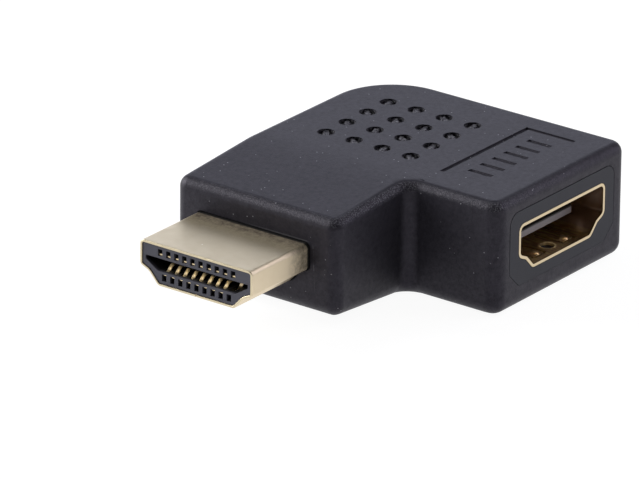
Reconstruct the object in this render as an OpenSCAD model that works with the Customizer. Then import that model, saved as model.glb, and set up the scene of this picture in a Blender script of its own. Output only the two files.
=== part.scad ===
// Right-angle video adapter: a plug and a socket joined by one flat moulded elbow.
// The plug points to -Y and the socket faces +X, a little higher than the plug.
// The origin is where the two connector axes cross, on the plane of the base.
// All sizes are in millimetres and all angles in degrees.

/* [Housing] */
// Thickness of the elbow over its corner block and socket arm
body_h = 12.1; // [11.9:0.1:14]
// Distance from the socket axis to the face that the plug comes out of
plug_reach = 22.7; // [21:0.1:30]
// Distance from the plug axis to the face that the socket opens in
socket_reach = 21.3; // [20.5:0.1:30]
// Width of the plug arm
plug_arm_w = 20.1; // [19.6:0.1:24]
// Sideways shift of the plug arm towards the socket
plug_arm_shift = 0.3; // [0:0.05:0.5]
// Width of the socket arm
socket_arm_w = 22.3; // [21.4:0.1:26]
// Shift of the socket arm away from the plug
socket_arm_shift = 0.1; // [0:0.05:0.3]
// Radius of the big outer corner, seen from above
elbow_r = 7.3; // [3:0.1:9]
// Radius of the hollow corner between the two arms
inner_r = 1.4; // [0.5:0.1:4]
// Radius of the upright corners beside the plug
plug_corner_r = 1.3; // [1:0.05:3]
// Radius of the upright corners beside the socket
socket_corner_r = 1.6; // [1.2:0.05:2]
// Radius of the soft edge round the top
top_edge_r = 1.1; // [0.6:0.05:1.3]
// Radius of the soft edge round the base
base_edge_r = 1.4; // [0.6:0.05:1.6]
// Slope of the plug arm's top, down towards the plug
top_taper = 3.8; // [0:0.1:4.5]
// Slope of the plug arm's underside, up towards the plug
base_taper = 4.3; // [0:0.1:5.5]

/* [Top marks] */
// Number of dimples along each side of the square grid
dimple_rows = 4; // [2:1:4]
// Distance between dimple centres
dimple_pitch = 3.5; // [2.5:0.1:3.6]
// Diameter of a dimple
dimple_d = 1.8; // [1:0.05:2]
// Depth of a dimple
dimple_depth = 0.7; // [0.3:0.05:1]
// X of the dimple nearest the plug and the left wall
dimple_x = -3.8; // [-4.5:0.1:-3]
// Y of the dimple nearest the plug and the left wall
dimple_y = -5.65; // [-7:0.05:-5]
// Width of the engraved line beside the dimples
line_w = 0.4; // [0.2:0.05:0.8]
// Depth of the engraved line and of the grip bars
mark_depth = 0.3; // [0.1:0.05:0.5]
// X of the engraved line's long leg
line_x = 11.35; // [10.8:0.05:12]
// Y of the engraved line's short leg
line_y = 7.75; // [6:0.05:8.5]
// Length of the engraved line's long leg
line_long = 14.85; // [8:0.05:16]
// Length of the engraved line's short leg
line_short = 6.2; // [3:0.1:7]
// Number of grip bars inside the engraved line
bar_count = 6; // [2:1:6]
// Distance between grip bars
bar_pitch = 2; // [1.2:0.1:2.2]
// Width of a grip bar
bar_w = 0.6; // [0.3:0.05:0.9]
// Length of a grip bar
bar_len = 2.8; // [1.5:0.1:4]
// X of the middle of the grip bars
bar_x = 14.8; // [14:0.1:15.5]

/* [Plug] */
// Width of the plug shell
plug_w = 13.9; // [13.5:0.05:14]
// Height of the plug shell
plug_h = 4.45; // [4.3:0.05:4.6]
// Length of the plug outside the housing
plug_len = 9.15; // [8:0.05:12]
// Length of the plug inside the housing
plug_root = 5.8; // [5:0.1:7]
// Height of the plug shell's straight side
plug_side = 2.65; // [2.4:0.05:2.8]
// Width of the plug shell's narrow underside
plug_foot_w = 9.4; // [9:0.1:10]
// Amount by which both shells step in below their straight side
shoulder_in = 1.1; // [0.9:0.05:1.2]
// Height over which both shells step in
shoulder_down = 0.5; // [0.4:0.05:0.6]
// Corner radius of both shells
shell_r = 0.5; // [0.3:0.05:0.6]
// Sheet thickness of the plug shell
plug_sheet = 0.25; // [0.2:0.05:0.3]
// Length of the bevel round the plug's mouth
lip_len = 0.2; // [0.1:0.05:0.4]
// Width of the bevel round the plug's mouth
lip_in = 0.12; // [0.05:0.01:0.15]
// Gap of the folded sheet's seam along the underside
seam_gap = 0.1; // [0.05:0.05:0.2]
// Sideways step of the seam half way along
seam_step = 1.2; // [0.5:0.1:2]
// Height of the slot in the plug insulator
slot_h = 1.35; // [1.2:0.05:1.4]
// Width of the slot in the plug insulator
slot_w = 12.6; // [12:0.1:12.7]
// Height of the slot's straight ends
slot_side = 0.4; // [0.2:0.05:0.6]
// Width of the slot's slanting lower corners
slot_slant = 1.5; // [1:0.1:1.6]
// Depth of the slot in the plug insulator
slot_depth = 8; // [6:0.5:9]
// Distance of the plug insulator behind the shell's mouth
insulator_inset = 0.1; // [0:0.05:0.4]
// Width of the gap round the plug where it enters the housing
entry_gap = 0.12; // [0.1:0.01:0.5]
// Depth of the gap round the plug
entry_depth = 0.6; // [0.3:0.1:1]

/* [Socket] */
// Width of the socket's opening
socket_w = 14.15; // [14:0.05:14.2]
// Height of the socket's opening
socket_h = 4.65; // [4.5:0.05:4.7]
// Height of the socket's middle above the plug's
socket_lift = 0.22; // [0:0.01:0.25]
// Length of the socket inside the housing
socket_len = 11.4; // [10.5:0.1:12]
// Height of the straight side of the socket's opening
socket_side = 2.95; // [2.8:0.05:3.1]
// Width of the narrow bottom of the socket's opening
socket_foot_w = 9.7; // [9.4:0.1:10.2]
// Sheet thickness of the socket shell
socket_sheet = 0.3; // [0.25:0.05:0.4]
// Width of the tongue
tongue_w = 10.6; // [10.4:0.1:11.4]
// Thickness of the tongue
tongue_t = 1; // [0.9:0.05:1.1]
// Thickness of the tongue's nose
nose_t = 0.8; // [0.4:0.05:0.85]
// Length of the tongue's tapered nose
nose_len = 0.3; // [0.3:0.05:0.6]
// Distance of the tongue's nose behind the opening
tongue_recess = 2.5; // [2:0.1:4]
// Length of the solid block that the tongue grows from
tongue_root = 3.4; // [2.5:0.1:4.5]
// Width of a spring leaf in the socket shell
leaf_w = 1.7; // [1.6:0.1:2.4]
// Length of a spring leaf
leaf_len = 4.6; // [3:0.1:5]
// Distance between the two leaves of a pair, middle to middle
leaf_pitch = 5; // [4.6:0.1:5.6]
// Width of the cut round a spring leaf
leaf_cut = 0.25; // [0.2:0.05:0.3]
// Distance of the leaves' cuts behind the opening
leaf_setback = 0.8; // [0.6:0.1:3]
// Radius of the round bump on a spring leaf
leaf_bump_r = 0.6; // [0.4:0.05:0.8]
// Height of the round bump on a spring leaf
leaf_bump_h = 0.25; // [0.1:0.05:0.4]
// Radius of the round hole between the lower pair of leaves
hole_r = 0.75; // [0.5:0.05:0.8]
// Distance of that hole's middle behind the opening
hole_back = 1.75; // [1.5:0.05:3]

/* [Contacts] */
// Distance between neighbouring contacts in a row
contact_pitch = 1; // [0.95:0.01:1.02]
// Width of a contact strip
contact_w = 0.4; // [0.3:0.02:0.42]
// Thickness of a contact strip
contact_t = 0.15; // [0.1:0.01:0.18]
// Width of the passage that a plug contact lies in
passage_w = 0.54; // [0.46:0.02:0.6]
// Height of the passage that a plug contact lies in
passage_h = 0.72; // [0.6:0.02:0.74]
// Height of a passage's middle from the plug axis
passage_rise = 1.29; // [1.25:0.01:1.3]
// Height of a plug contact's tip from the plug axis
tip_rise = 1.03; // [1.02:0.01:1.2]
// Height of a plug contact's straight beam from the plug axis
beam_rise = 1; // [0.9:0.05:1.2]
// Height of a plug contact's bump from the plug axis
bump_rise = 0.24; // [0.15:0.01:0.4]
// Distance of a plug contact's tip behind the insulator's face
tip_back = 0.2; // [0.1:0.05:0.3]
// Distance of a plug contact's bend behind the insulator's face
bend_back = 0.5; // [0.5:0.05:0.7]
// Distance of a plug contact's bump behind the insulator's face
bump_back = 1.5; // [1.4:0.1:2]
// Half length of the rounded top of a plug contact's bump
bump_half = 0.2; // [0.1:0.05:0.3]
// Height of the rounded top of a plug contact's bump
bump_round = 0.04; // [0.02:0.01:0.06]
// Distance of the start of a plug contact's beam behind the insulator's face
beam_back = 4.2; // [3.8:0.1:5]
// Extra distance of the last lower contact's bend and bump behind the face
late_back = 1.1; // [0:0.1:1.5]
// Length of the insulator's bridge between a passage and the slot
bridge = 0.4; // [0.3:0.05:0.45]
// Depth of the grooves that hold the socket contacts in the tongue
groove_depth = 0.1; // [0.05:0.01:0.15]
// Distance of the socket contacts' ends behind the tongue's nose
strip_inset = 0.7; // [0.6:0.1:1.2]
// Length over which a plug contact steps to the board
tail_step = 0.6; // [0.4:0.1:0.8]
// Length of a contact's tail on the board
tail_len = 1.7; // [1:0.1:2.2]

/* [Inner mould and board] */
// Height of the inner mould above the connector axes
mould_above = 4.35; // [3.8:0.05:4.4]
// Height of the inner mould below the connector axes
mould_below = 3.6; // [3.3:0.05:4.2]
// Width of the inner mould round the socket
mould_w = 17.8; // [17:0.1:18]
// Radius of the inner mould's upper corners round the socket
mould_r = 1.3; // [0.5:0.1:2]
// Chamfer of the inner mould's lower corners round the socket
mould_chamfer = 1.6; // [0.5:0.1:1.9]
// Width of the inner mould behind the plug
mould_leg_w = 16.3; // [15.8:0.1:16.6]
// Thickness of the housing's wall in front of the inner mould
front_wall = 2.2; // [1.5:0.1:3]
// Thickness of the circuit board
board_t = 1; // [0.8:0.1:1.2]
// Width of each arm of the circuit board
board_w = 13.2; // [11:0.1:13.4]
// Clearance between the circuit board and what surrounds it
board_gap = 0.3; // [0.2:0.05:0.5]
// Half height of the space for the contacts' steps behind the plug
step_room = 1.25; // [1.2:0.05:1.4]
// Running clearance between pieces that are set into each other
fit = 0.05; // [0.03:0.01:0.08]

/* [Hidden] */
// The rows hold ten and nine contacts, as this connector's pin-out fixes
upper_row = 10;
lower_row = 9;
// Overshoot of a cut beyond the face that it opens
over = 0.5;
// Smallest radius of an upright corner after the edge rounding is taken off
least_r = 0.05;
// Steps of the rounded edge, of a small upright corner and of the big corner
edge_steps = 6;
corner_steps = 8;
elbow_steps = 20;

axis_z = body_h / 2;
left_x = plug_arm_shift - plug_arm_w / 2;
right_x = plug_arm_shift + plug_arm_w / 2;
arm_y = socket_arm_shift - socket_arm_w / 2;
back_y = socket_arm_shift + socket_arm_w / 2;
plug_mouth = -plug_reach - plug_len;
plug_rear = -plug_reach + plug_root;
insulator_front = plug_mouth + insulator_inset;
socket_rear = socket_reach - socket_len;
tongue_tip = socket_reach - tongue_recess;
mould_front = -plug_reach + front_wall;
side_wall = -mould_leg_w / 2 - left_x;

function contact_name(owner, i) = str(owner, "_contact_", i < 10 ? "0" : "", i);

// Points of an arc about a centre, from one angle to another
function arc(centre, r, from, to, steps) =
    [for (i = [0:steps]) let (a = from + (to - from) * i / steps) centre + r * [cos(a), sin(a)]];

// Outline of the housing seen from above, with every wall moved in by d. It starts on the
// left wall in line with the socket arm's front and runs anticlockwise.
function plan(d) =
    let (
        plug_r = max(plug_corner_r - d, least_r),
        socket_r = max(socket_corner_r - d, least_r),
        big_r = max(elbow_r - d, least_r),
        hollow_r = inner_r + d,
        left = left_x + d,
        right = right_x - d,
        front = -plug_reach + d,
        arm = arm_y + d,
        end = socket_reach - d,
        back = back_y - d
    )
    concat(
        [[left, arm]],
        arc([left + plug_r, front + plug_r], plug_r, 180, 270, corner_steps),
        arc([right - plug_r, front + plug_r], plug_r, 270, 360, corner_steps),
        arc([right + hollow_r, arm - hollow_r], hollow_r, 180, 90, corner_steps),
        arc([end - socket_r, arm + socket_r], socket_r, 270, 360, corner_steps),
        arc([end - socket_r, back - socket_r], socket_r, 0, 90, corner_steps),
        arc([left + big_r, back - big_r], big_r, 90, 180, elbow_steps)
    );

// One level of the housing: side is 0 at the base and 1 at the top, and turn runs from 0 on
// the flat face to 90 on the upright wall
function level(side, turn) =
    let (
        r = side == 0 ? base_edge_r : top_edge_r,
        d = r * (1 - sin(turn)),
        lift = r * (1 - cos(turn)),
        slope = tan(side == 0 ? base_taper : top_taper)
    )
    [for (p = plan(d))
        let (in = lift + slope * max(0, arm_y + d - p[1]))
        [p[0], p[1], side == 0 ? in : body_h - in]];

// Outline of a formed strip of thickness t along a path
function unit(v) = v / norm(v);
function normal_at(p, i) = let (u = unit(p[i + 1] - p[i])) [-u[1], u[0]];
function mitre_at(p, i) =
    i == 0 ? normal_at(p, 0) :
    i == len(p) - 1 ? normal_at(p, i - 1) :
    let (a = normal_at(p, i - 1), b = normal_at(p, i)) (a + b) / (1 + a * b);
function strip(p, t) = concat(
    [for (i = [0:len(p) - 1]) p[i] + mitre_at(p, i) * t / 2],
    [for (i = [len(p) - 1:-1:0]) p[i] - mitre_at(p, i) * t / 2]
);

// Sideways place of contact i, and 1 for the upper row or -1 for the lower one
function row_side(i) = i <= upper_row ? 1 : -1;
function row_place(i) = i <= upper_row
    ? (i - (upper_row + 1) / 2) * contact_pitch
    : (i - upper_row - (lower_row + 1) / 2) * contact_pitch;

// Extrude an outline of the XZ or YZ plane, drawn about the connector axis
module along_y(from, to)
    translate([0, to, axis_z]) rotate([90, 0, 0]) linear_extrude(to - from) children();
module along_x(from, to)
    translate([from, 0, axis_z]) rotate([90, 0, 90]) linear_extrude(to - from) children();

// Corners of a shell's outline: straight sides, a shoulder and slanting lower corners
function shell_points(w, h, side, foot_w) = [
    [-w / 2, h / 2],
    [-w / 2, h / 2 - side],
    [shoulder_in - w / 2, h / 2 - side - shoulder_down],
    [-foot_w / 2, -h / 2],
    [foot_w / 2, -h / 2],
    [w / 2 - shoulder_in, h / 2 - side - shoulder_down],
    [w / 2, h / 2 - side],
    [w / 2, h / 2]
];
plug_points = shell_points(plug_w, plug_h, plug_side, plug_foot_w);
socket_points = shell_points(socket_w, socket_h, socket_side, socket_foot_w);

module rounded_outline(points)
    offset(r = shell_r, $fn = 32) offset(delta = -shell_r) polygon(points);
module plug_outline() rounded_outline(plug_points);
module socket_outline() translate([0, socket_lift]) rounded_outline(socket_points);

// Outline of the inner mould round the socket, larger by grow on every side
module mould_outline(grow) {
    half = mould_w / 2 + grow;
    r = mould_r + grow;
    polygon([
        [-half, mould_chamfer - mould_below],
        [mould_chamfer - half, -mould_below - grow],
        [half - mould_chamfer, -mould_below - grow],
        [half, mould_chamfer - mould_below],
        [half, mould_above + grow - r],
        [-half, mould_above + grow - r]
    ]);
    translate([r - half, 0]) square([2 * (half - r), mould_above + grow]);
    for (s = [-1, 1]) translate([s * (half - r), mould_above + grow - r]) circle(r, $fn = 48);
}

// Solid form of the inner mould, larger by grow on every side
module mould_form(grow) {
    half = mould_leg_w / 2 + grow;
    back = mould_w / 2 + grow;
    round_r = elbow_r - side_wall;
    translate([0, 0, axis_z - mould_below - grow])
        linear_extrude(mould_below + mould_above + 2 * grow)
            difference() {
                translate([-half, mould_front - grow]) square([2 * half, back - mould_front + grow]);
                translate([-half, back]) difference() {
                    square(2 * round_r, center = true);
                    translate([round_r, -round_r]) circle(round_r, $fn = 64);
                }
            }
    along_x(0, socket_reach + grow) mould_outline(grow);
}

// Plan of the circuit board, larger by grow on every side
module board_plan(grow) {
    half = board_w / 2 + grow;
    front = plug_rear + board_gap - grow;
    end = socket_rear - board_gap + grow;
    translate([-half, front]) square([2 * half, half - front]);
    translate([-half, -half]) square([end + half, 2 * half]);
}

// Moulded outer elbow, lofted through levels of its plan
module elbow() {
    turns = [for (i = [0:edge_steps]) 90 * i / edge_steps];
    levels = concat(
        [for (t = turns) level(0, t)],
        [for (i = [edge_steps:-1:0]) level(1, turns[i])]
    );
    n = len(levels[0]);
    last = (len(levels) - 1) * n;
    split = 3 * (corner_steps + 1);
    walls = [for (j = [0:len(levels) - 2], i = [0:n - 1])
        let (a = j * n + i, b = j * n + (i + 1) % n)
        each [[a, a + n, b + n], [a, b + n, b]]];
    caps = [
        [for (i = [0:split]) i],
        concat([for (i = [split:n - 1]) i], [0]),
        concat([last], [for (i = [split:-1:1]) last + i]),
        concat([last + split, last], [for (i = [n - 1:-1:split + 1]) last + i])
    ];
    polyhedron([for (l = levels) each l], concat(walls, caps));
}

module top_cut(x, y, w, d, depth)
    translate([x, y, body_h - depth]) cube([w, d, depth + over]);

module top_marks() {
    for (i = [0:dimple_rows - 1], j = [0:dimple_rows - 1])
        translate([dimple_x + i * dimple_pitch, dimple_y + j * dimple_pitch, body_h - dimple_depth])
            cylinder(d = dimple_d, h = dimple_depth + over, $fn = 32);
    top_cut(line_x - line_w / 2, line_y - line_long, line_w, line_long, mark_depth);
    top_cut(line_x - line_w / 2, line_y - line_w, line_short, line_w, mark_depth);
    for (i = [0:bar_count - 1])
        top_cut(bar_x - bar_len / 2, (i - (bar_count - 1) / 2) * bar_pitch - bar_w / 2,
            bar_len, bar_w, mark_depth);
}

module housing()
    color([0.25, 0.25, 0.29])
    difference() {
        elbow();
        top_marks();
        mould_form(fit);
        along_y(-plug_reach - over, mould_front + over) offset(delta = fit) plug_outline();
        along_y(-plug_reach - over, -plug_reach + entry_depth)
            offset(delta = entry_gap) plug_outline();
    }

module inner_mould()
    color([0.2, 0.2, 0.22])
    difference() {
        intersection() {
            mould_form(0);
            translate([left_x, -plug_reach, 0])
                cube([socket_reach - left_x, plug_reach + back_y, body_h]);
        }
        along_y(mould_front - over, plug_rear) offset(delta = fit) plug_outline();
        along_x(socket_rear, socket_reach + over)
            offset(delta = socket_sheet + fit) socket_outline();
        translate([0, 0, axis_z - board_t / 2 - contact_t - fit])
            linear_extrude(board_t + 2 * (contact_t + fit)) board_plan(board_gap);
        translate([-plug_foot_w / 2, plug_rear - fit, axis_z - step_room])
            cube([plug_foot_w, tail_step + board_gap, 2 * step_room]);
    }

module circuit_board()
    color([0.1, 0.35, 0.2])
    translate([0, 0, axis_z - board_t / 2]) linear_extrude(board_t) board_plan(0);

// Bevel that coins the mouth of the plug shell along the side of its outline from p to q
module lead_in(p, q) {
    u = unit(q - p);
    translate([p[0], 0, axis_z + p[1]]) rotate([0, -atan2(u[1], u[0]), 0]) rotate([90, 0, 90])
        linear_extrude(norm(q - p)) polygon([
            [plug_mouth - over, lip_in * (1 + over / lip_len)],
            [plug_mouth + lip_len, 0],
            [plug_mouth + lip_len, -over],
            [plug_mouth - over, -over]
        ]);
}

// Cut of the folded sheet's seam, which steps sideways half way along the underside
module seam() {
    middle = (plug_mouth + plug_rear) / 2;
    translate([-seam_gap / 2, 0, axis_z - plug_h / 2 - over])
        linear_extrude(plug_sheet + over + fit) {
            translate([0, plug_mouth - over]) square([seam_gap, middle - plug_mouth + over]);
            translate([0, middle - seam_gap]) square([seam_step, seam_gap]);
            translate([seam_step - seam_gap, middle - seam_gap])
                square([seam_gap, plug_rear - middle + seam_gap + over]);
        }
}

module plug_shell()
    color([0.8, 0.74, 0.58])
    difference() {
        along_y(plug_mouth, plug_rear) difference() {
            plug_outline();
            offset(delta = -plug_sheet) plug_outline();
        }
        for (i = [0:len(plug_points) - 1])
            lead_in(plug_points[i], plug_points[(i + 1) % len(plug_points)]);
        seam();
    }

module plug_insulator()
    color([0.33, 0.33, 0.39])
    difference() {
        along_y(insulator_front, plug_rear) offset(delta = -plug_sheet - fit) plug_outline();
        along_y(insulator_front - over, insulator_front + slot_depth)
            polygon([
                [-slot_w / 2, slot_h / 2],
                [-slot_w / 2, slot_h / 2 - slot_side],
                [slot_slant - slot_w / 2, -slot_h / 2],
                [slot_w / 2 - slot_slant, -slot_h / 2],
                [slot_w / 2, slot_h / 2 - slot_side],
                [slot_w / 2, slot_h / 2]
            ]);
        for (i = [1:upper_row + lower_row]) plug_passage(row_place(i), row_side(i));
    }

// Passage of one plug contact: a window in the face, opening on the slot behind its bridge
module plug_passage(place, side) {
    low = passage_rise - passage_h / 2;
    translate([place - passage_w / 2, insulator_front - over, axis_z])
        mirror([0, 0, side > 0 ? 0 : 1])
            translate([0, 0, low])
                cube([passage_w, plug_rear - insulator_front + 2 * over, passage_h]);
    translate([place - passage_w / 2, insulator_front + bridge, axis_z])
        mirror([0, 0, side > 0 ? 0 : 1])
            cube([passage_w, slot_depth - bridge, low + fit]);
    translate([place - passage_w / 2, insulator_front + slot_depth - fit, axis_z])
        mirror([0, 0, side > 0 ? 0 : 1])
            translate([0, 0, beam_rise - contact_t])
                cube([passage_w, plug_rear - insulator_front - slot_depth + over, contact_t * 2]);
}

module plug_contact(place, side, late) {
    front = insulator_front + late;
    bump = front + bump_back;
    tail_rise = (board_t + contact_t) / 2;
    path = [
        [front + tip_back, tip_rise],
        [front + bend_back, tip_rise],
        [bump - bump_half, bump_rise + bump_round],
        [bump, bump_rise],
        [bump + bump_half, bump_rise + bump_round],
        [front + beam_back, beam_rise],
        [plug_rear + fit, beam_rise],
        [plug_rear + tail_step, tail_rise],
        [plug_rear + tail_step + tail_len, tail_rise]
    ];
    color([0.9, 0.75, 0.4])
        translate([place - contact_w / 2, 0, axis_z]) rotate([90, 0, 90])
            linear_extrude(contact_w) polygon(strip([for (p = path) [p[0], side * p[1]]], contact_t));
}

module socket_shell()
    color([0.85, 0.78, 0.6])
    difference() {
        union() {
            along_x(socket_rear, socket_reach) difference() {
                offset(delta = socket_sheet) socket_outline();
                socket_outline();
            }
            for (s = [-1, 1], t = [-1, 1]) leaf_place(s, t) leaf_bump();
        }
        for (s = [-1, 1], t = [-1, 1]) leaf_place(s, t) leaf_slit();
        translate([socket_reach - hole_back, 0, axis_z + socket_lift - socket_h / 2 - 2 * over])
            cylinder(r = hole_r, h = 4 * over, $fn = 48);
    }

// Place of a leaf: s picks one of a pair, and t is 1 on the upper wall and -1 on the lower
module leaf_place(s, t)
    translate([socket_reach - leaf_setback, s * leaf_pitch / 2, axis_z + socket_lift])
        mirror([0, 0, t > 0 ? 0 : 1]) translate([0, 0, socket_h / 2]) children();

// Cut round three sides of a leaf, whose free end faces the opening
module leaf_slit()
    translate([-leaf_len, 0, -over]) linear_extrude(socket_sheet + 2 * over) difference() {
        translate([0, -leaf_w / 2 - leaf_cut]) square([leaf_len, leaf_w + 2 * leaf_cut]);
        translate([-leaf_cut, -leaf_w / 2]) square([leaf_len, leaf_w]);
    }

// Round bump pressed inwards near a leaf's free end
module leaf_bump() {
    ball_r = (leaf_bump_r * leaf_bump_r + leaf_bump_h * leaf_bump_h) / (2 * leaf_bump_h);
    translate([-leaf_cut - leaf_bump_r, 0, 0]) intersection() {
        translate([0, 0, ball_r - leaf_bump_h]) sphere(ball_r, $fn = 48);
        translate([-leaf_w / 2, -leaf_w / 2, -over]) cube([leaf_w, leaf_w, over + socket_sheet / 2]);
    }
}

module socket_insulator()
    color([0.33, 0.33, 0.39])
    difference() {
        union() {
            along_x(socket_rear, socket_rear + tongue_root) offset(delta = -fit) socket_outline();
            translate([0, tongue_w / 2, axis_z]) rotate([90, 0, 0])
                linear_extrude(tongue_w) polygon([
                    [socket_rear + over, tongue_t / 2],
                    [socket_rear + over, -tongue_t / 2],
                    [tongue_tip - nose_len, -tongue_t / 2],
                    [tongue_tip, -nose_t / 2],
                    [tongue_tip, nose_t / 2],
                    [tongue_tip - nose_len, tongue_t / 2]
                ]);
        }
        for (i = [1:upper_row + lower_row])
            translate([socket_rear - over, row_place(i) - contact_w / 2 - fit, axis_z])
                mirror([0, 0, row_side(i) > 0 ? 0 : 1])
                    translate([0, 0, tongue_t / 2 - groove_depth])
                        cube([tongue_tip - strip_inset + fit - socket_rear + over,
                            contact_w + 2 * fit, contact_t + fit]);
    }

module socket_contact(place, side) {
    strip_rise = tongue_t / 2 - groove_depth + contact_t / 2;
    tail_rise = (board_t + contact_t) / 2;
    path = [
        [tongue_tip - strip_inset, strip_rise],
        [socket_rear - fit, strip_rise],
        [socket_rear - board_gap + fit, tail_rise],
        [socket_rear - board_gap - tail_len, tail_rise]
    ];
    color([0.9, 0.75, 0.4])
        translate([0, place + contact_w / 2, axis_z]) rotate([90, 0, 0])
            linear_extrude(contact_w) polygon(strip([for (p = path) [p[0], side * p[1]]], contact_t));
}

housing();
inner_mould();
circuit_board();
plug_shell();
plug_insulator();
socket_shell();
socket_insulator();
for (i = [1:upper_row + lower_row]) {
    plug_contact(row_place(i), row_side(i), i == upper_row + lower_row ? late_back : 0);
    socket_contact(row_place(i), row_side(i));
}
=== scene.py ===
import math
import bpy
from mathutils import Matrix, Vector


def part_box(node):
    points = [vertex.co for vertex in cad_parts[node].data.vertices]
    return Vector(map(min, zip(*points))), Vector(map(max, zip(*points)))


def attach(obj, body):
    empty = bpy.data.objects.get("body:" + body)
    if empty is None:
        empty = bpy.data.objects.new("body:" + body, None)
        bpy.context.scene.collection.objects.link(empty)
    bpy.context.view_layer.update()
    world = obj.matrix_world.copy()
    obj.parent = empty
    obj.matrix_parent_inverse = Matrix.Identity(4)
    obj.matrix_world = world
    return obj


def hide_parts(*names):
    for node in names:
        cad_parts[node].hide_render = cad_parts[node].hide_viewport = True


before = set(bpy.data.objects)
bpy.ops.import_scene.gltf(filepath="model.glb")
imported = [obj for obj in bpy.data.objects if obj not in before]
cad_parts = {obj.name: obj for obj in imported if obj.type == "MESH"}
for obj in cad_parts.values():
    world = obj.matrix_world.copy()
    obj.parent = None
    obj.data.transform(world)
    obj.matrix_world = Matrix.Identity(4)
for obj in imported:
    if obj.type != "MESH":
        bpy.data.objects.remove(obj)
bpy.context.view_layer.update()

bpy.ops.object.select_all(action="DESELECT")
mm = 0.001


# Housing: the outer elbow of black PVC, moulded round the inner mould and both shells. Its
# top has sixteen round dimples, an engraved line and grip bars, and its upper edges came out
# of the tool with a coarse sparkling grain.
(left, front, base), (end, back, top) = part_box("housing")
right = 10.35 * mm
arm_front = -11.05 * mm
axis_z = (base + top) / 2
top_drop = 0.863 * mm
base_lift = 0.98 * mm
bend_half = 2.5 * mm
top_edge_r = 1.1 * mm
base_edge_r = 1.4 * mm
outer_corner_r = 7.3 * mm
inner_corner_r = 1.4 * mm
plug_arm_r = 1.3 * mm
socket_arm_r = 1.6 * mm

# The upright corners' places, each with its radius and its steps
corners = {(left, back): (outer_corner_r, 24), (right, arm_front): (inner_corner_r, 10)}
corners |= {(x, front): (plug_arm_r, 8) for x in (left, right)}
corners |= {(end, y): (socket_arm_r, 8) for y in (arm_front, back)}

# How near a place or a direction comes to the one meant, where edges and faces are picked
near = 0.05 * mm
aligned = 0.9
steep = 0.5
crosswise = 0.1


def block(name, low, high):
    """A box between two corners, with its place in its mesh."""
    bpy.ops.mesh.primitive_cube_add(
        size=1, location=[(a + b) / 2 for a, b in zip(low, high)],
        scale=[b - a for a, b in zip(low, high)])
    piece = bpy.context.object
    piece.name = name
    bpy.ops.object.transform_apply(location=True, rotation=True, scale=True)
    return piece


def pick(piece):
    """Leave edit mode, and select one piece alone."""
    if bpy.context.mode != "OBJECT":
        bpy.ops.object.mode_set(mode="OBJECT")
    bpy.ops.object.select_all(action="DESELECT")
    piece.select_set(True)
    bpy.context.view_layer.objects.active = piece


def edit(piece):
    """Open one piece in edit mode, with all of it selected."""
    pick(piece)
    bpy.ops.object.mode_set(mode="EDIT")
    bpy.ops.mesh.select_all(action="SELECT")


def close():
    """Leave edit mode."""
    bpy.ops.object.mode_set(mode="OBJECT")


def choose(kind, test):
    """Select the vertices, edges or faces of the edited piece that pass a test. The test
    gets a vertex's place, an edge's middle and direction, or a face's middle and normal."""
    bpy.ops.mesh.select_mode(type=kind)
    bpy.ops.mesh.select_all(action="DESELECT")
    bpy.ops.object.mode_set(mode="OBJECT")
    mesh = bpy.context.object.data
    place = [v.co for v in mesh.vertices]
    if kind == "VERT":
        for v in mesh.vertices:
            v.select = test(v.co)
    elif kind == "EDGE":
        for e in mesh.edges:
            a, b = (place[i] for i in e.vertices)
            e.select = test((a + b) / 2, (b - a).normalized())
    else:
        for f in mesh.polygons:
            f.select = test(f.center, f.normal)
    bpy.ops.object.mode_set(mode="EDIT")


def crease_edges(test):
    """Select the edges of the edited piece between two faces that pass a test together."""
    bpy.ops.mesh.select_mode(type="EDGE")
    bpy.ops.mesh.select_all(action="DESELECT")
    bpy.ops.object.mode_set(mode="OBJECT")
    mesh = bpy.context.object.data
    sides = {}
    for f in mesh.polygons:
        for key in f.edge_keys:
            sides.setdefault(key, []).append(f)
    for e in mesh.edges:
        pair = sides.get(e.key, [])
        e.select = len(pair) == 2 and (test(*pair) or test(*reversed(pair)))
    bpy.ops.object.mode_set(mode="EDIT")


def bevel(width, steps):
    """Round the selected edges of the edited piece, or with one step cut them off flat."""
    bpy.ops.mesh.bevel(offset=width, segments=steps, affect="EDGES", clamp_overlap=False)


housing = block("housing_shell", (left, front, base), (right, back, top))
edit(housing)
for y in (arm_front, arm_front - bend_half, arm_front + bend_half):
    bpy.ops.mesh.select_all(action="SELECT")
    bpy.ops.mesh.bisect(plane_co=(0, y, 0), plane_no=(0, 1, 0))
choose("FACE", lambda c, n: n.x > aligned and c.y > arm_front)
bpy.ops.mesh.extrude_region_move(TRANSFORM_OT_translate={"value": (end - right, 0, 0)})

# The plug arm's top falls and its base rises evenly towards the front
bend_share = bend_half / (arm_front - front)
for y, share in ((front, 1), (arm_front - bend_half, bend_share)):
    for z, move in ((top, -top_drop), (base, base_lift)):
        choose("VERT", lambda co: abs(co.y - y) < near and abs(co.z - z) < near)
        bpy.ops.transform.translate(value=(0, 0, share * move))

for (x, y), (radius, steps) in corners.items():
    choose("EDGE", lambda c, d: abs(d.z) > aligned and abs(c.x - x) < near and abs(c.y - y) < near)
    bevel(radius, steps)
for side, radius in ((1, top_edge_r), (-1, base_edge_r)):
    crease_edges(lambda a, b: a.normal.z * side > aligned and abs(b.normal.z) < steep)
    bevel(radius, steps=9)

# Points that the bevels pushed past the top and the base are laid back on them
for side, z in ((1, top), (-1, base)):
    choose("VERT", lambda co: (co.z - z) * side > 0)
    bpy.ops.transform.resize(value=(1, 1, 0), center_override=(0, 0, z))
close()

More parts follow.
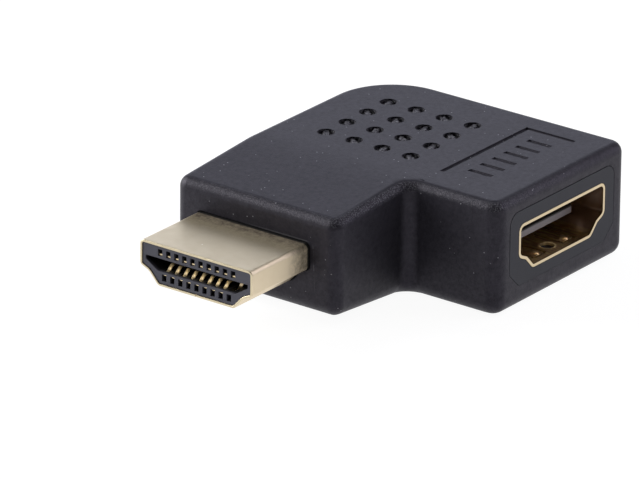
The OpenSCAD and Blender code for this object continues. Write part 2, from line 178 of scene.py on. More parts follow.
shoulder_in = 1.1 * mm
shoulder_down = 0.5 * mm
shell_r = 0.5 * mm
foot_r = 0.55 * shell_r
plug_size = {"width": 13.9 * mm, "height": 4.45 * mm, "side": 2.65 * mm, "foot": 9.4 * mm}
gap_w = 0.08 * mm
gap_depth = 0.6 * mm
gap_reach = 7.5 * mm
gap_round = 0.08 * mm
mould_half = 8.9 * mm
mould_low = axis_z - 3.6 * mm
mould_high = axis_z + 4.35 * mm
mould_front = front + 2.2 * mm
mould_round = 1.35 * mm
mould_cut = 1.6 * mm
leg_half = 8.15 * mm
leg_corner_r = 5.75 * mm
parting_low = mould_low + 1.5 * mm
parting_round = 0.07 * mm
fit = 0.05 * mm
over = 1 * mm


def finish_with(piece, kind, **settings):
    """Add a modifier to a piece and apply it."""
    pick(piece)
    bpy.ops.object.modifier_add(type=kind)
    modifier = piece.modifiers[-1]
    for key, value in settings.items():
        setattr(modifier, key, value)
    bpy.ops.object.modifier_apply(modifier=modifier.name)


def cut(piece, *cutters):
    """Cut pieces out of a piece and delete them."""
    for cutter in cutters:
        finish_with(piece, "BOOLEAN", operation="DIFFERENCE", solver="EXACT", object=cutter)
        bpy.data.objects.remove(cutter)


def dee(name, width, height, side, foot, front, rear, grow=0):
    """The open D-shaped tube of the connector along Y, with its long edges rounded."""
    tube = block(name, (-width / 2, front, axis_z - height / 2), (width / 2, rear, axis_z + height / 2))
    edit(tube)
    choose("FACE", lambda c, n: abs(n.y) > aligned)
    bpy.ops.mesh.delete(type="ONLY_FACE")
    step_z = axis_z + height / 2 - side
    for z in (step_z, step_z - shoulder_down):
        bpy.ops.mesh.select_all(action="SELECT")
        bpy.ops.mesh.bisect(plane_co=(0, 0, z), plane_no=(0, 0, 1))
    for z, half in ((step_z - shoulder_down, width / 2 - shoulder_in), (axis_z - height / 2, foot / 2)):
        choose("VERT", lambda co: abs(co.z - z) < near)
        bpy.ops.transform.resize(value=(2 * half / width, 1, 1), center_override=(0, 0, axis_z))
    for upper, radius in ((True, shell_r), (False, foot_r)):
        choose("EDGE", lambda c, d: abs(d.y) > aligned and (c.z > axis_z) == upper)
        bevel(radius, steps=6)
    if grow:
        bpy.ops.mesh.select_all(action="SELECT")
        bpy.ops.transform.shrink_fatten(value=grow, use_even_offset=True)
    close()
    return tube


def capped(tube):
    """Close the two ends of a tube."""
    edit(tube)
    bpy.ops.mesh.select_mode(type="EDGE")
    bpy.ops.mesh.select_all(action="DESELECT")
    bpy.ops.mesh.select_non_manifold()
    bpy.ops.mesh.edge_face_add()
    bpy.ops.mesh.select_all(action="SELECT")
    bpy.ops.mesh.normals_make_consistent(inside=False)
    close()
    return tube


# Pockets for the inner mould's leg and arm and for the plug's shell, and the gap round it
leg_pocket = block("leg_pocket", (-leg_half - fit, mould_front - fit, mould_low - fit),
                   (leg_half + fit, mould_half + fit, mould_high + fit))
edit(leg_pocket)
choose("EDGE", lambda c, d: abs(d.z) > aligned and c.x < 0 and c.y > 0)
bevel(leg_corner_r, steps=16)
close()
arm_pocket = block("arm_pocket", (0, -mould_half - fit, mould_low - 0.3 * fit),
                   (end + 2 * over, mould_half + fit, mould_high + fit))
edit(arm_pocket)
choose("EDGE", lambda c, d: abs(d.x) > aligned and c.z > axis_z)
bevel(mould_round, steps=8)
choose("EDGE", lambda c, d: abs(d.x) > aligned and c.z < mould_low)
bevel(mould_cut, steps=1)
close()
plug_hole = capped(dee("plug_hole", front=front - over, rear=mould_front + over, grow=fit, **plug_size))
plug_gap = capped(dee("plug_gap", front=front - over, rear=front + gap_depth, grow=gap_w, **plug_size))
cut(housing, leg_pocket, arm_pocket, plug_hole, plug_gap)

# Soft rims to the gap, and to the parting line above its lower corners
edit(housing)
crease_edges(lambda a, b: a.normal.y < -aligned and abs(a.center.y - front) < near
             and abs(b.normal.y) < crosswise and b.center.y < front + gap_depth
             and abs(b.center.x) < gap_reach)
bevel(gap_round, steps=2)
crease_edges(lambda a, b: a.normal.x > aligned and abs(a.center.x - end) < near
             and abs(b.normal.x) < crosswise and abs(b.center.y) < mould_half + over
             and b.center.z > parting_low)
bevel(parting_round, steps=2)
close()

dimple_rows = 4
dimple_d = 1.8 * mm
dimple_depth = 0.45 * mm
dimple_pitch = 3.5 * mm
dimple_start = Vector((-3.8 * mm, -5.65 * mm))
dimple_sides = 32
ring_w = 0.2 * mm
fold_half = 0.32 * mm
fold_rise = 0.27 * mm
tear = 0.06 * mm


def dimple_cutter(x, y, fold_angle, seed):
    """The round pin that leaves one dimple, with a fold and tears across its bottom."""
    bpy.ops.mesh.primitive_cylinder_add(
        vertices=dimple_sides, radius=dimple_d / 2, depth=2 * dimple_depth, location=(x, y, top))
    pin = bpy.context.object
    bpy.ops.object.transform_apply(location=True, rotation=True, scale=True)
    edit(pin)
    choose("FACE", lambda c, n: n.z < -aligned)
    for _ in range(3):
        bpy.ops.mesh.inset(thickness=ring_w, depth=0)
    choose("VERT", lambda co: co.z < top and (
        math.hypot(co.x - x, co.y - y) < fold_half
        or abs((co.x - x) * math.cos(fold_angle) + (co.y - y) * math.sin(fold_angle)) < fold_half))
    bpy.ops.transform.translate(value=(0, 0, fold_rise))
    choose("VERT", lambda co: co.z < top)
    bpy.ops.transform.vertex_random(offset=tear, uniform=0.5, normal=0, seed=seed)
    close()
    return pin


for i in range(dimple_rows ** 2):
    x, y = dimple_start + Vector((i % dimple_rows, i // dimple_rows)) * dimple_pitch
    fold_angle = math.radians(37 + 20 * math.sin(2.4 * i))
    cut(housing, dimple_cutter(x, y, fold_angle, seed=i + 1))

line_w = 0.5 * mm
line_depth = 0.22 * mm
line_x = 11.5 * mm
line_y = 7.87 * mm
line_long = 14.85 * mm
line_short = 6.05 * mm
bar_count = 6
bar_depth = 0.14 * mm
bar_x = 14.8 * mm
bar_half = Vector((1.4 * mm, 0.3 * mm))
bar_pitch = 2 * mm
mark_round = 0.08 * mm
line_low = Vector((line_x - line_w / 2, line_y - line_long))

# The marks' corners in plan, and their depths: the line's long and short parts, and the bars
marks = [(line_low, Vector((line_x + line_w / 2, line_y - line_w / 2)), line_depth),
         (Vector((line_low.x, line_y - line_w)), Vector((line_low.x + line_short, line_y)), line_depth)]
for i in range(bar_count):
    middle = Vector((bar_x, (i - (bar_count - 1) / 2) * bar_pitch))
    marks.append((middle - bar_half, middle + bar_half, bar_depth))
for low, high, deep in marks:
    groove = block("groove", (*low, top - deep), (*high, top + over))
    edit(groove)
    choose("EDGE", lambda c, d: abs(c.z - (top - deep)) < near and abs(d.z) < crosswise)
    bevel(mark_round, steps=2)
    close()
    cut(housing, groove)


gentle = math.radians(35)


def smooth(piece):
    """Round shading over gentle edges, with flat faces kept flat."""
    pick(piece)
    bpy.ops.object.shade_smooth_by_angle(angle=gentle)
    finish_with(piece, "WEIGHTED_NORMAL", keep_sharp=True, weight=80)


smooth(housing)


def put(mat, kind, settings=(), **inputs):
    """Add a shader node. An input goes by its name, or by i and its number where the name
    isn't its own, and takes a value or the output of another node."""
    made = mat.node_tree.nodes.new("ShaderNode" + kind)
    for key, value in dict(settings).items():
        setattr(made, key, value)
    for key, value in inputs.items():
        socket = made.inputs[int(key[1:]) if key[1:].isdigit() else key.replace("_", " ")]
        if isinstance(value, bpy.types.NodeSocket):
            mat.node_tree.links.new(value, socket)
        else:
            socket.default_value = value
    return made.outputs


def join(mat, output, shader, name):
    """Drive an input of the shader."""
    mat.node_tree.links.new(output, shader.inputs[name])


def parts(mat, vector):
    """The x, y and z of a vector."""
    return put(mat, "SeparateXYZ", Vector=vector)


def facing(mat):
    """The x, y and z of the direction that the surface faces."""
    return parts(mat, put(mat, "NewGeometry")["Normal"])


def maths(mat, operation, a, b=0.0):
    """A sum on two values or outputs."""
    return put(mat, "Math", {"operation": operation}, i0=a, i1=b)[0]


def product(mat, *shares):
    """All the shares multiplied together."""
    total = shares[0]
    for share in shares[1:]:
        total = maths(mat, "MULTIPLY", total, share)
    return total


def ramp(mat, value, start, stop, low=0.0, high=1.0):
    """Turn a value's range from start to stop into low to high, and hold it beyond."""
    return put(mat, "MapRange", {"clamp": True}, Value=value, From_Min=start, From_Max=stop,
               To_Min=low, To_Max=high)[0]


def within(mat, value, low, high, soft):
    """A share of 1 between two values, which fades over a length beyond them."""
    return product(mat, ramp(mat, value, low - soft, low), ramp(mat, value, high + soft, high))


def blend(mat, share, a, b):
    """Mix two colours."""
    made = mat.node_tree.nodes.new("ShaderNodeMix")
    made.data_type = "RGBA"
    for socket, value in ((made.inputs[0], share), (made.inputs[6], a), (made.inputs[7], b)):
        if isinstance(value, bpy.types.NodeSocket):
            mat.node_tree.links.new(value, socket)
        elif socket.type == "RGBA":
            socket.default_value = (*value, 1)
        else:
            socket.default_value = value
    return made.outputs[2]


def noise(mat, place, size, detail=2.0, roughness=0.5):
    """Cloudy variation whose patches are about the given size in metres."""
    return put(mat, "TexNoise", Vector=place, Scale=1 / size, Detail=detail, Roughness=roughness)[0]


def stretched(mat, place, x, y, z):
    """Object coordinates scaled along each axis, so that a pattern turns into streaks."""
    return put(mat, "Mapping", Vector=place, Scale=(x, y, z))[0]


def new_finish(name, **constants):
    """A material with its constants set on the shader, and its object coordinates."""
    mat = bpy.data.materials.new(name)
    mat.use_nodes = True
    shader = mat.node_tree.nodes["Principled BSDF"]
    for key, value in constants.items():
        shader.inputs[key.replace("_", " ")].default_value = value
    return mat, shader, put(mat, "TexCoord")["Object"]


def relief(mat, shader, height, depth):
    """Give the surface bumps of the given depth in metres."""
    join(mat, put(mat, "Bump", Strength=1, Distance=depth, Height=height)[0], shader, "Normal")


def dust(mat, place, colour, cell, radius, share, pale=(0.30, 0.30, 0.33)):
    """Scatter pale specks over a colour: one in some of the cells of a fine division."""
    cells = put(mat, "TexVoronoi", Vector=place, Scale=1 / cell)
    core = ramp(mat, cells[0], radius / cell, 0.5 * radius / cell)
    lucky = put(mat, "SeparateColor", Color=cells[1])[0]
    speck = maths(mat, "MULTIPLY", core, maths(mat, "GREATER_THAN", lucky, 1 - share))
    return blend(mat, speck, colour, pale)


pvc_dark = (0.016, 0.0152, 0.0197)
pvc_light = (0.0235, 0.0222, 0.0288)
pvc_shade = (0.006, 0.006, 0.009)
dimple_light_grey = (0.13, 0.13, 0.14)
grain_lit = (0.085, 0.085, 0.095)
grain_unlit = (0.185, 0.185, 0.203)
lip_light_grey = (0.08, 0.08, 0.085)
scratch_grey = (0.2, 0.2, 0.22)
grain_size = 0.13 * mm
grain_high = 0.08 * mm
grain_low = 0.6 * mm
grain_high_rise = 0.06 * mm
grain_low_rise = 0.22 * mm
shade_w = 6.9 * mm
dimple_light_x = (-5 * mm, 8 * mm)
dimple_light_y = (-7 * mm, 6.2 * mm)
lip_z = axis_z + 2.4 * mm
lip_w = 0.08 * mm
lip_right = 6.5 * mm
scratch_x = 7.85 * mm
scratch_half = 0.01 * mm
scratch_low = 3.4 * mm
scratch_high = 8 * mm
scratch_lean = 0.053


def depth_below_top(mat, y, z):
    """How far a place lies below the top, which falls towards the plug."""
    past_bend = maths(mat, "MAXIMUM", maths(mat, "SUBTRACT", arm_front, y), 0)
    fall = product(mat, past_bend, top_drop / (arm_front - front))
    return maths(mat, "SUBTRACT", maths(mat, "SUBTRACT", top, z), fall)


def grain_band(mat, x, y, below, plug_side):
    """Coarse grain below the top's edges on the plug's side and at the end. It lies a little
    higher up towards the plug."""
    end_side = product(mat, ramp(mat, x, end - 1.3 * mm, end - 1.1 * mm),
                       ramp(mat, y, 6 * mm, arm_front, 0, 0.5))
    to_plug = ramp(mat, y, arm_front - 3 * mm, front + 4 * mm)
    from_high = maths(mat, "ADD", below, product(mat, to_plug, grain_high_rise))
    from_low = maths(mat, "ADD", below, product(mat, to_plug, grain_low_rise))
    return product(mat, maths(mat, "MAXIMUM", plug_side, end_side),
                   ramp(mat, from_high, grain_high, grain_high + 0.06 * mm),
                   ramp(mat, from_low, grain_low + 0.4 * mm, grain_low),
                   ramp(mat, x, left + mm, left + 4 * mm, 0.35))


def painted_edge_shade(mat, x, below, plug_side, peel):
    """Painted shade: dark lines along the top's edges on the plug's side, as in a fine groove, and down the
    middle of the rounded upright corners.
    """
    top_edge_shade = product(mat, within(mat, below, 0.07 * mm, 0.12 * mm, 0.06 * mm),
                        ramp(mat, x, left + 4 * mm, left + 14 * mm, 0.05, 0.15))
    normal = facing(mat)
    off_corner = maths(mat, "ABSOLUTE", maths(mat, "ADD", normal["X"], normal["Y"]))
    corner_shade = product(mat, ramp(mat, off_corner, 0.3, 0.1),
                          within(mat, below, 0.3 * mm, 0.8 * mm, 0.2 * mm),
                          ramp(mat, peel, 0.6, 0.4, 0, 0.1))
    return product(mat, maths(mat, "MAXIMUM", top_edge_shade, corner_shade), plug_side)


def line_shade(mat, x, y, below):
    """Shade inside the engraved line, with none inside the bars."""
    bars = product(mat, ramp(mat, x, line_x + 0.8 * mm, line_x + mm),
                   ramp(mat, y, line_y - mm, line_y - 1.2 * mm))
    return product(mat, ramp(mat, below, 0.04 * mm, 0.1 * mm), ramp(mat, bars, 0, 1, 0.3, 0),
                   within(mat, x, line_low.x, line_low.x + shade_w, 0.1 * mm),
                   within(mat, y, line_low.y, line_y, 0.2 * mm))


def painted_dimple_light(mat, place, x, y, below):
    """Painted light: pale specks in the bottoms of the dimples, as light caught on their torn floors."""
    return product(mat, ramp(mat, below, 0.04 * mm, 0.12 * mm),
                   ramp(mat, noise(mat, place, 0.25 * mm, 3, 0.7), 0.45, 0.6),
                   within(mat, x, *dimple_light_x, 0.1 * mm), within(mat, y, *dimple_light_y, 0.1 * mm))


def painted_lip_light(mat, x, y, z):
    """Painted light: a pale line along the lip over the gap round the plug, as light bounced from the plug
    onto its rounded edge.
    """
    return product(mat, ramp(mat, y, front + 0.06 * mm, front + 0.03 * mm),
                   within(mat, z, lip_z, lip_z + lip_w, 0.06 * mm),
                   ramp(mat, x, -2 * mm, 3 * mm), ramp(mat, x, lip_right + 0.5 * mm, lip_right))


def front_scratch(mat, place, x, y, z):
    """A broken, slightly leaning scratch on the front face."""
    drift = maths(mat, "ADD", x, product(mat, z, scratch_lean))
    return product(mat, ramp(mat, y, front + 0.2 * mm, front + 0.1 * mm),
                   within(mat, z, scratch_low, scratch_high, 0.3 * mm),
                   within(mat, drift, scratch_x - scratch_half, scratch_x + scratch_half, 0.04 * mm),
                   ramp(mat, noise(mat, place, 0.5 * mm), 0.45, 0.6, 0.1, 0.6))


def housing_pvc():
    """Black PVC, streaked and grained, with a scratch and some dust, and with painted shade and painted
    light at its edges, corners, marks and dimples.
    """
    mat, shader, place = new_finish(
        "housing_pvc", Roughness=0.5, Specular_IOR_Level=0.35, Specular_Tint=(0.88, 0.82, 1, 1))
    x, y, z = parts(mat, place)
    below = depth_below_top(mat, y, z)
    plug_side = ramp(mat, y, arm_front + 1.25 * mm, arm_front + 1.05 * mm)
    peel = noise(mat, place, grain_size, 3, 0.6)
    band = grain_band(mat, x, y, below, plug_side)
    dark = maths(mat, "MAXIMUM", painted_edge_shade(mat, x, below, plug_side, peel), line_shade(mat, x, y, below))

    streak = noise(mat, stretched(mat, place, 1, 0.5, 1), 1.2 * mm, 6, 0.75)
    colour = blend(mat, ramp(mat, streak, 0.3, 0.7), pvc_dark, pvc_light)
    grain = blend(mat, ramp(mat, facing(mat)["X"], 0.1, 0.4), grain_lit, grain_unlit)
    # Laid over the streaks: the grain, painted shade, painted light in the dimples and on the gap's lip,
    # and a scratch
    for share, tone in ((product(mat, band, ramp(mat, peel, 0.48, 0.7)), grain),
                        (dark, pvc_shade),
                        (painted_dimple_light(mat, place, x, y, below), dimple_light_grey),
                        (painted_lip_light(mat, x, y, z), lip_light_grey),
                        (front_scratch(mat, place, x, y, z), scratch_grey)):
        colour = blend(mat, share, colour, tone)
    join(mat, dust(mat, place, colour, 0.6 * mm, 0.08 * mm, 0.2), shader, "Base Color")

    mottle = noise(mat, place, 0.5 * mm, 5, 0.8)
    gloss = product(mat, ramp(mat, dark, 0, 1, 0.35, 0.1), ramp(mat, mottle, 0.3, 0.7, 0.6, 1.4))
    join(mat, gloss, shader, "Specular IOR Level")
    fine = product(mat, noise(mat, place, 0.12 * mm), 0.25)
    relief(mat, shader, maths(mat, "ADD", fine, product(mat, peel, band)), 0.06 * mm)
    return mat


housing.data.materials.clear()
housing.data.materials.append(housing_pvc())
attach(housing, "root")
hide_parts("housing")


# Inner mould: the satin black plastic that was potted round the board first. Only its end
# shows, flush with the housing's end face inside a fine parting line.
mould_dark = (0.022, 0.022, 0.028)
mould_light = (0.029, 0.029, 0.0365)


def dress(node, mat):
    """Give a CAD node its finish."""
    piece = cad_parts[node]
    piece.data.materials.clear()
    piece.data.materials.append(mat)


def inner_mould_plastic():
    """Satin black polyethylene with a little dust."""
    mat, shader, place = new_finish(
        "inner_mould_plastic", Roughness=0.5, Specular_IOR_Level=0.3, Specular_Tint=(0.86, 0.88, 1, 1))
    body = blend(mat, noise(mat, place, 2 * mm, 3), mould_dark, mould_light)
    join(mat, dust(mat, place, body, 1.5 * mm, 0.06 * mm, 0.15), shader, "Base Color")
    relief(mat, shader, noise(mat, place, 0.15 * mm), 0.006 * mm)
    return mat


dress("inner_mould", inner_mould_plastic())


# Circuit board: the green laminate inside that carries each plug contact to its socket
# contact. It is hidden in the finished adapter.
board_dark = (0.015, 0.14, 0.06)
board_light = (0.03, 0.2, 0.09)


def board_laminate():
    """Woven laminate under green solder mask."""
    mat, shader, place = new_finish("board_laminate", Roughness=0.25)
    weave = noise(mat, stretched(mat, place, 1, 4, 1), 0.4 * mm)
    join(mat, blend(mat, weave, board_dark, board_light), shader, "Base Color")
    relief(mat, shader, weave, 0.004 * mm)
    return mat


dress("circuit_board", board_laminate())


# Plug shell: steel sheet folded to a D and plated a pale champagne gold. The edges of its
# mouth are rounded, and the plating is dull and stained towards the housing, with painted
# shade there and a painted shadow where it enters the housing.
(_, mouth, _), (_, plug_rear, _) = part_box("plug_shell")
plug_sheet = 0.25 * mm
mouth_outer_r = 0.11 * mm
mouth_inner_r = 0.04 * mm
seam_half = 0.05 * mm
seam_step = 1.2 * mm
seam_turn = (mouth + plug_rear) / 2
seam_low = axis_z - 3 * mm
seam_high = axis_z - 1.9 * mm
plating_dark = (0.62, 0.535, 0.37)
plating_light = (0.70, 0.61, 0.43)
side_painted_light = (0.8, 0.69, 0.51)
stain_and_shade = (0.11, 0.085, 0.06)
stain_and_shade_reach = 3.6 * mm
gap_shadow_black = (0.01, 0.009, 0.008)
gap_shadow_reach = 0.32 * mm
warm_dust = (1, 0.97, 0.88)

plug_shell = dee("plug_shell_plated", front=mouth, rear=plug_rear, **plug_size)
finish_with(plug_shell, "SOLIDIFY", thickness=plug_sheet, offset=-1, use_even_offset=True)
edit(plug_shell)
for outward, radius in ((1, mouth_outer_r), (-1, mouth_inner_r)):
    crease_edges(lambda a, b: a.normal.y < -aligned and abs(b.normal.y) < crosswise
                 and outward * (b.normal.x * b.center.x + b.normal.z * (b.center.z - axis_z)) > 0)
    bevel(radius, steps=4)
close()

# The seam's front run, its rear run beside that line, and the step between them
seam_runs = [((-seam_half, mouth - over), (seam_half, seam_turn)),
             ((seam_step - 3 * seam_half, seam_turn), (seam_step - seam_half, plug_rear + over)),
             ((-seam_half, seam_turn - 2 * seam_half), (seam_step - seam_half, seam_turn))]
for low, high in seam_runs:
    cut(plug_shell, block("seam_cut", (*low, seam_low), (*high, seam_high)))
smooth(plug_shell)


def plug_gold():
    """Satin plating, duller and painted paler on the sides, with a mottled stain and painted shade towards
    the housing, and a painted shadow where it enters the housing.
    """
    mat, shader, place = new_finish("plug_gold")
    y = parts(mat, place)["Y"]
    side = ramp(mat, maths(mat, "ABSOLUTE", facing(mat)["X"]), 0.15, 0.7)
    plating = blend(mat, noise(mat, place, 2.5 * mm, 4), plating_dark, plating_light)
    # Painted light: the sides are painted paler than the top
    plating = blend(mat, side, plating, side_painted_light)
    patches = ramp(mat, noise(mat, place, 0.5 * mm, 4, 0.7), 0.35, 0.6, ramp(mat, side, 0, 1, 0.62, 0.2), 1)
    # Mottled stain towards the housing, strongest next to it, where it is also painted shade
    stain_and_shade_share = product(mat, patches, ramp(mat, y, front - stain_and_shade_reach, front - mm),
                   ramp(mat, side, 0, 1, 1, 0.65))
    plating = blend(mat, stain_and_shade_share, plating, stain_and_shade)
    plating = dust(mat, place, plating, 1.1 * mm, 0.09 * mm, 0.12, warm_dust)
    # Painted shadow: a dark band on the plug just in front of the housing, where it enters the gap
    painted_gap_shadow = ramp(mat, y, front - gap_shadow_reach, front - gap_shadow_reach + 0.08 * mm)
    join(mat, blend(mat, painted_gap_shadow, plating, gap_shadow_black), shader, "Base Color")
    join(mat, ramp(mat, maths(mat, "MAXIMUM", stain_and_shade_share, painted_gap_shadow), 0, 1, 1, 0.2), shader, "Metallic")
    shine = ramp(mat, noise(mat, place, 0.8 * mm, 3), 0.3, 0.7, 0.33, 0.41)
    shine = maths(mat, "ADD", shine, product(mat, side, 0.16))
    join(mat, maths(mat, "ADD", shine, product(mat, stain_and_shade_share, 0.3)), shader, "Roughness")
    relief(mat, shader, noise(mat, place, 0.25 * mm), 0.004 * mm)
    return mat


plug_shell.data.materials.clear()
plug_shell.data.materials.append(plug_gold())
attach(plug_shell, "root")
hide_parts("plug_shell")


# Plug insulator: the slate grey plastic core, with a window for each contact and the slot
# that takes the socket's tongue. Its edges are softened as moulded edges are.
core_round = 0.03 * mm
core_light = (0.085, 0.085, 0.11)
core_dark = (0.065, 0.065, 0.085)
insulator_shade = (0.01, 0.01, 0.012)
merge = 0.002 * mm
flat = math.radians(1)
sharp = math.radians(40)


def copied(node, name):
    """A copy of a CAD node with its points and flat faces merged."""
    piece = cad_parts[node].copy()
    piece.data = piece.data.copy()
    piece.name = name
    piece.parent = None
    bpy.context.collection.objects.link(piece)
    edit(piece)
    bpy.ops.mesh.remove_doubles(threshold=merge)
    bpy.ops.mesh.dissolve_limited(angle_limit=flat)
    close()
    return piece


def softened(piece, node, width, mat):
    """Round the sharp edges of a copied piece a little and give it its finish."""
    finish_with(piece, "BEVEL", width=width, segments=2, limit_method="ANGLE",
                angle_limit=sharp, use_clamp_overlap=True)
    smooth(piece)
    piece.data.materials.clear()
    piece.data.materials.append(mat)
    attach(piece, "root")
    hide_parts(node)


def insulator_plastic(name, light, dark, shade_axis, shade_from, shade_to):
    """Matt moulded plastic, darkened by painted shade between two places along one axis."""
    mat, shader, place = new_finish(name, Roughness=0.45, Specular_IOR_Level=0.4)
    body = blend(mat, noise(mat, place, 1.5 * mm, 3), dark, light)
    shade = ramp(mat, parts(mat, place)[shade_axis], shade_from, shade_to)
    join(mat, blend(mat, shade, body, insulator_shade), shader, "Base Color")
    relief(mat, shader, noise(mat, place, 0.1 * mm), 0.004 * mm)
    return mat


# Painted shade darkens the core inside the slot, just behind its mouth
softened(copied("plug_insulator", "plug_insulator_core"), "plug_insulator", core_round,
         insulator_plastic("insulator_plastic", core_light, core_dark,
                                                "Y", mouth + 0.15 * mm, mouth + 0.6 * mm))


# Contacts: gold-plated bronze strips on a 1 mm pitch, ten above the slot and nine below it,
# with sprung bumps in the plug and flat beds on the socket's tongue.
contact_count = 19
contact_round = 0.04 * mm
contact_dark = (0.95, 0.76, 0.42)
contact_light = (1, 0.86, 0.56)
contact_glint = (1, 0.8, 0.5, 1)


def contact_gold():
    """Bright plating, drawn lengthways, with painted glints that glow on the slopes and tips in the plug.
    """
    mat, shader, place = new_finish("contact_gold", Metallic=0.8, Roughness=0.3)
    body = blend(mat, noise(mat, place, 0.6 * mm), contact_dark, contact_light)
    join(mat, body, shader, "Base Color")
    _, y, z = parts(mat, place)

    # Painted glints: the sprung slopes and the tips in the plug, which face its mouth, glow as if they
    # caught light
    height = maths(mat, "ABSOLUTE", maths(mat, "SUBTRACT", z, axis_z))
    slope = product(mat, ramp(mat, height, 0.4 * mm, 0.5 * mm, 0.2, 1),
                    ramp(mat, height, 0.68 * mm, 0.6 * mm))
    tip = ramp(mat, height, 0.9 * mm, mm, 0, 0.6)
    shader.inputs["Emission Color"].default_value = contact_glint
    glint = product(mat, ramp(mat, facing(mat)["Y"], -0.2, -0.8, 0, 0.8),
                    maths(mat, "MAXIMUM", slope, tip), ramp(mat, y, mouth + 4 * mm, mouth + 3 * mm))
    join(mat, glint, shader, "Emission Strength")
    relief(mat, shader, noise(mat, stretched(mat, place, 6, 1, 6), 0.2 * mm), 0.002 * mm)
    return mat


contact_finish = contact_gold()
for i in range(1, contact_count + 1):
    dress(f"socket_contact_{i:02d}", contact_finish)
    softened(copied(f"plug_contact_{i:02d}", f"plug_strip_{i:02d}"), f"plug_contact_{i:02d}",
             contact_round, contact_finish)


# Socket shell: gold-plated sheet stamped to a D, with a pair of spring leaves in its upper
# and lower walls. Its rim shows as a bright line round the opening, with rounded edges
# darkened by painted shade.
rim_round = 0.06 * mm
rim_dark = (0.62, 0.5, 0.31)
rim_light = (0.67, 0.56, 0.39)
rim_bevel_shade = (0.45, 0.3, 0.12)
wall_gold = (0.62, 0.46, 0.34)
floor_dull = (0.68, 0.46, 0.25)
floor_rubbed = (0.92, 0.74, 0.38)
hole_highlight_gold = (0.9, 0.7, 0.35)
hole_x = end - 1.75 * mm
hole_highlight_r = 0.88 * mm


def socket_gold():
    """Satin plating, browner inside, rubbed in streaks on the floor, with painted shade on the rim's
    rounded edges and a painted highlight round the hole.
    """
    mat, shader, place = new_finish("socket_gold", Metallic=1.0, Roughness=0.3)
    x, _, z = parts(mat, place)
    rim = blend(mat, noise(mat, place, 1.2 * mm, 3), rim_dark, rim_light)
    # Painted shade on the rim's rounded edges
    rim = blend(mat, ramp(mat, facing(mat)["X"], 0.97, 0.75), rim, rim_bevel_shade)
    rubbed = ramp(mat, noise(mat, stretched(mat, place, 0.2, 1, 1), 0.3 * mm, 3), 0.4, 0.6)
    bottom = blend(mat, rubbed, floor_dull, floor_rubbed)
    inside = blend(mat, ramp(mat, z, axis_z - 1.6 * mm, axis_z - 2 * mm), wall_gold, bottom)
    plating = blend(mat, ramp(mat, x, end - 0.3 * mm, end - 0.05 * mm), inside, rim)
    from_hole = put(mat, "VectorMath", {"operation": "DISTANCE"},
                    i0=stretched(mat, place, 1, 1, 0), i1=(hole_x, 0, 0))["Value"]
    # Painted highlight: a broken pale ring round the hole in the floor, as light caught on its edge
    painted_hole_highlight = product(mat, ramp(mat, from_hole, hole_highlight_r + 0.1 * mm, hole_highlight_r),
                   ramp(mat, z, axis_z, axis_z - 2 * mm),
                   ramp(mat, noise(mat, place, 0.3 * mm), 0.4, 0.55))
    join(mat, blend(mat, painted_hole_highlight, plating, hole_highlight_gold), shader, "Base Color")
    join(mat, ramp(mat, painted_hole_highlight, 0, 1, 1, 0), shader, "Metallic")
    relief(mat, shader, noise(mat, place, 0.15 * mm, 3), 0.008 * mm)
    return mat


softened(copied("socket_shell", "socket_shell_plated"), "socket_shell", rim_round,
         socket_gold())


# Socket insulator: the grey block at the back of the socket and the tongue that grows out
# of it, with rounded ends on its nose.
tongue_tip = end - 2.5 * mm
tongue_edge = 5.2 * mm
nose_r = 0.25 * mm
tongue_round = 0.05 * mm
tongue_light = (0.34, 0.32, 0.34)
tongue_dark = (0.26, 0.245, 0.26)

tongue = copied("socket_insulator", "socket_tongue")
edit(tongue)
choose("EDGE", lambda c, d: abs(d.z) > aligned and abs(c.x - tongue_tip) < near and abs(c.y) > tongue_edge)
bevel(nose_r, steps=5)
close()
# Painted shade darkens the tongue above the top of its nose's face, under the rim
softened(tongue, "socket_insulator", tongue_round,
         insulator_plastic("tongue_plastic", tongue_light, tongue_dark,
                           "Z", axis_z + 0.24 * mm, axis_z + 0.3 * mm))


# Floor: a wide sheet of white paper that the adapter lies on. The camera and reflections see
# it as white, and it keeps the adapter's shadow.
paper_r = 2.5
paper_white = (0.72, 0.72, 0.72)
paper_seen = (0.16, 0.16, 0.16)
paper_glow = 0.94


def paper():
    """Matt paper that shines white at the camera and in reflections only."""
    mat, shader, _ = new_finish("paper", Roughness=0.9, Specular_IOR_Level=0.0)
    shader.inputs["Emission Color"].default_value = (1, 1, 1, 1)
    path = put(mat, "LightPath")
    seen = maths(mat, "MAXIMUM", path["Is Camera Ray"],
                 maths(mat, "MAXIMUM", path["Is Glossy Ray"], path["Is Transmission Ray"]))
    join(mat, blend(mat, seen, paper_white, paper_seen), shader, "Base Color")
    join(mat, maths(mat, "MULTIPLY", seen, paper_glow), shader, "Emission Strength")
    return mat


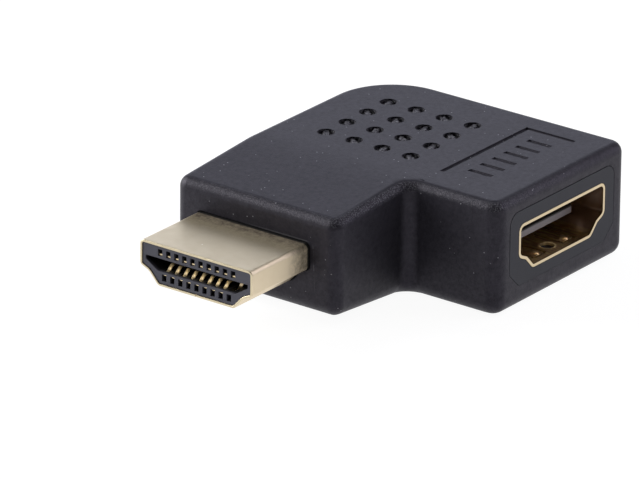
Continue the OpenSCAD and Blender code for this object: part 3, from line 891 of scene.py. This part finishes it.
bpy.ops.mesh.primitive_circle_add(vertices=96, radius=paper_r, fill_type="NGON", location=(0, 0, 0))
floor = bpy.context.object
floor.name = "floor"
floor.data.materials.append(paper())


# Light: a nearly dark room with a strong soft lamp at the left, a weaker one at the right
# and behind, and faint ones behind at the left and above.
room_light = 0.06
world = bpy.data.worlds.new("studio")
bpy.context.scene.world = world
world.use_nodes = True
sky = world.node_tree.nodes["Background"]
sky.inputs["Color"].default_value = (1, 1, 1, 1)
join(world, ramp(world, put(world, "LightPath")["Is Camera Ray"], 0, 1, room_light, 1), sky, "Strength")


def lamp(name, place, size, power, colour):
    """A square soft lamp that faces the adapter."""
    light = bpy.data.lights.new(name, "AREA")
    light.size = size
    light.energy = power
    light.color = colour
    holder = bpy.data.objects.new(name, light)
    bpy.context.collection.objects.link(holder)
    holder.location = place
    holder.rotation_euler = (-Vector(place)).to_track_quat("-Z", "Y").to_euler()


lamp("left", (-0.75, -0.25, 0.35), 0.5, 8.8, (1, 1, 1))
lamp("back", (-0.51, 0.69, 0.31), 0.65, 1.7, (0.83, 0.86, 1))
lamp("right", (0.5, 0.65, 0.45), 0.8, 3.8, (0.91, 0.88, 1))
lamp("above", (0, 0, 0.8), 0.8, 1, (1, 1, 1))


# Camera: a long lens at the photograph's angle, with the point that it looks at. Both were
# fitted to the edges of the plug, the socket and the housing.
azimuth = math.radians(36.718)
elevation = math.radians(22.519)
roll = math.radians(0.568)
distance = 0.7152
aim = Vector((5.115, -18.476, 6.84)) * mm
turn = (Matrix.Rotation(azimuth, 4, "Z") @ Matrix.Rotation(math.pi / 2 - elevation, 4, "X")
        @ Matrix.Rotation(roll, 4, "Z"))
lens = bpy.data.cameras.new("camera")
lens.lens = 408.2
lens.sensor_width = 36
lens.clip_end = 10
camera = bpy.data.objects.new("camera", lens)
bpy.context.collection.objects.link(camera)
camera.matrix_world = Matrix.Translation(aim + turn.to_3x3() @ Vector((0, 0, distance))) @ turn
bpy.context.scene.camera = camera
bpy.context.scene.view_settings.view_transform = "Standard"
